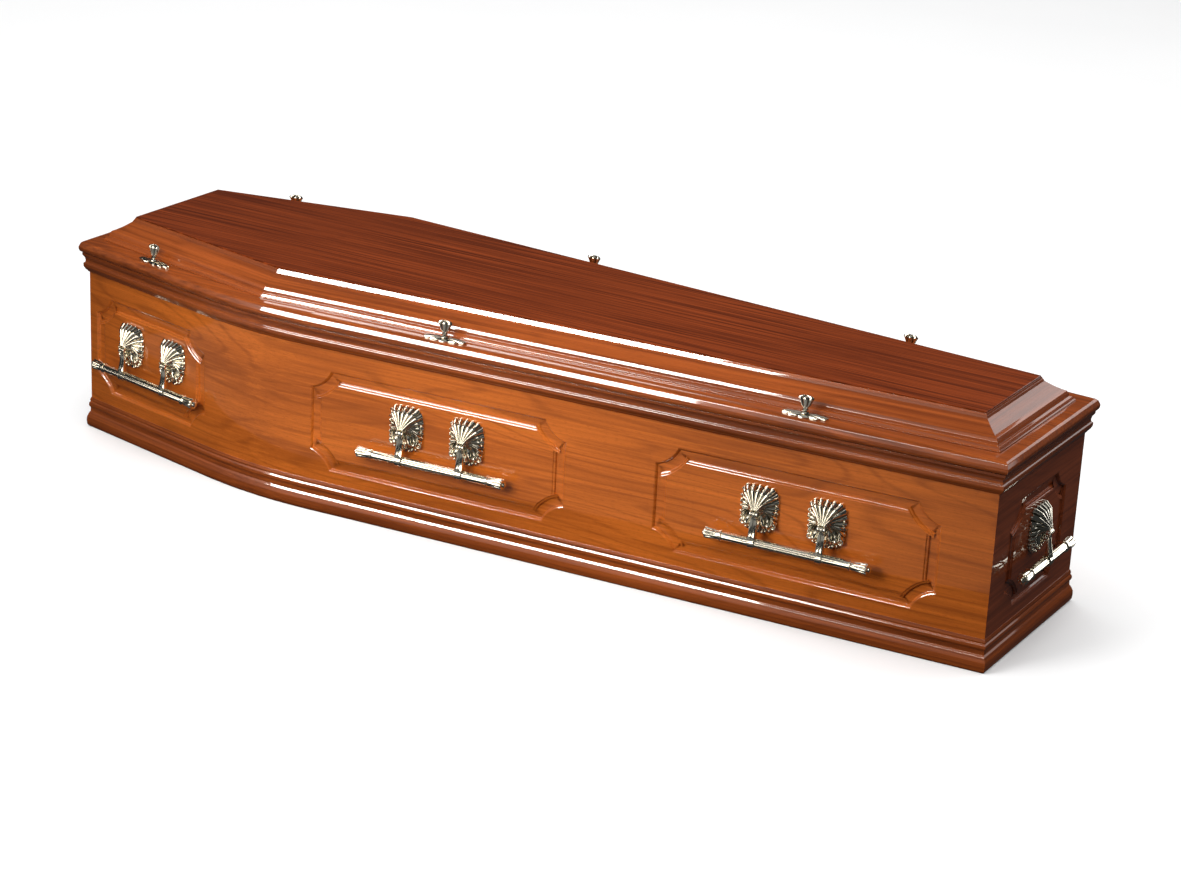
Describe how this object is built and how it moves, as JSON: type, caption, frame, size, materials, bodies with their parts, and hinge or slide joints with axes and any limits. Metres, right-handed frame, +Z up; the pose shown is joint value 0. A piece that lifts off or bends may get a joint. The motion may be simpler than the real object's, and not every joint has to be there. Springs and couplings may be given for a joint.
{
  "type": "coffin",
  "caption": "Tapered wooden coffin with bent shoulders, moulded plinth and rim, raised lift-off lid, swinging bar handles on shell plates, and thumb-screws.",
  "frame": {"origin": "on the ground, at the middle of the length over the end handles and of the width", "axes": "+X towards the foot end, +Y across, +Z up"},
  "size_m": [2.011, 0.6244, 0.433],
  "materials": {
    "side_wood": "high-gloss lacquer over figured mahogany veneer",
    "end_wood": "high-gloss lacquer over dark mahogany veneer",
    "lid_wood": "high-gloss lacquer over dark mahogany veneer",
    "moulding_wood": "high-gloss lacquer over mahogany",
    "base_wood": "plain sawn board, unpolished",
    "brass": "polished and lacquered, pale gold"
  },
  "bodies": {
    "coffin": {"base_board": "base_wood", "side_board_near": "side_wood", "side_board_far": "side_wood", "head_board": "end_wood", "foot_board": "end_wood", "plinth_moulding": "moulding_wood", "rim_moulding": "moulding_wood", "lid_flange": "lid_wood", "lid_raised_moulding": "moulding_wood", "lid_top_panel": "lid_wood", "plate_near_head_1": "brass", "plate_near_head_2": "brass", "plate_near_middle_1": "brass", "plate_near_middle_2": "brass", "plate_near_foot_1": "brass", "plate_near_foot_2": "brass", "plate_foot_end_1": "brass", "plate_far_foot_1": "brass", "plate_far_foot_2": "brass", "plate_far_middle_1": "brass", "plate_far_middle_2": "brass", "plate_far_head_1": "brass", "plate_far_head_2": "brass", "plate_head_end_1": "brass", "leaf_plate_near_head": "brass", "thumb_screw_near_head": "brass", "leaf_plate_near_middle": "brass", "thumb_screw_near_middle": "brass", "leaf_plate_near_foot": "brass", "thumb_screw_near_foot": "brass", "leaf_plate_far_head": "brass", "thumb_screw_far_head": "brass", "leaf_plate_far_middle": "brass", "thumb_screw_far_middle": "brass", "leaf_plate_far_foot": "brass", "thumb_screw_far_foot": "brass"},
    "handle_near_head": {"bar_near_head": "brass", "arm_near_head_1": "brass", "arm_near_head_2": "brass"},
    "handle_near_middle": {"bar_near_middle": "brass", "arm_near_middle_1": "brass", "arm_near_middle_2": "brass"},
    "handle_near_foot": {"bar_near_foot": "brass", "arm_near_foot_1": "brass", "arm_near_foot_2": "brass"},
    "handle_foot_end": {"bar_foot_end": "brass", "arm_foot_end_1": "brass"},
    "handle_far_foot": {"bar_far_foot": "brass", "arm_far_foot_1": "brass", "arm_far_foot_2": "brass"},
    "handle_far_middle": {"bar_far_middle": "brass", "arm_far_middle_1": "brass", "arm_far_middle_2": "brass"},
    "handle_far_head": {"bar_far_head": "brass", "arm_far_head_1": "brass", "arm_far_head_2": "brass"},
    "handle_head_end": {"bar_head_end": "brass", "arm_head_end_1": "brass"}
  },
  "joints": [
    {"name": "near_head_swing", "type": "hinge", "parent": "coffin", "child": "handle_near_head", "pos_m": [-0.78274, -0.2581, 0.201], "axis": [-0.9774, 0.2115, 0], "range_deg": [0, 90]},
    {"name": "near_middle_swing", "type": "hinge", "parent": "coffin", "child": "handle_near_middle", "pos_m": [-0.09125, -0.29063, 0.201], "axis": [-0.9973, -0.0729, 0], "range_deg": [0, 90]},
    {"name": "near_foot_swing", "type": "hinge", "parent": "coffin", "child": "handle_near_foot", "pos_m": [0.61188, -0.23924, 0.201], "axis": [-0.9973, -0.0729, 0], "range_deg": [0, 90]},
    {"name": "foot_end_swing", "type": "hinge", "parent": "coffin", "child": "handle_foot_end", "pos_m": [0.995, 0, 0.201], "axis": [0, -1, 0], "range_deg": [0, 90]},
    {"name": "far_foot_swing", "type": "hinge", "parent": "coffin", "child": "handle_far_foot", "pos_m": [0.61188, 0.23924, 0.201], "axis": [0.9973, -0.0729, 0], "range_deg": [0, 90]},
    {"name": "far_middle_swing", "type": "hinge", "parent": "coffin", "child": "handle_far_middle", "pos_m": [-0.09125, 0.29063, 0.201], "axis": [0.9973, -0.0729, 0], "range_deg": [0, 90]},
    {"name": "far_head_swing", "type": "hinge", "parent": "coffin", "child": "handle_far_head", "pos_m": [-0.78274, 0.2581, 0.201], "axis": [0.9774, 0.2115, 0], "range_deg": [0, 90]},
    {"name": "head_end_swing", "type": "hinge", "parent": "coffin", "child": "handle_head_end", "pos_m": [-0.995, 0, 0.201], "axis": [0, 1, 0], "range_deg": [0, 90]}
  ]
}
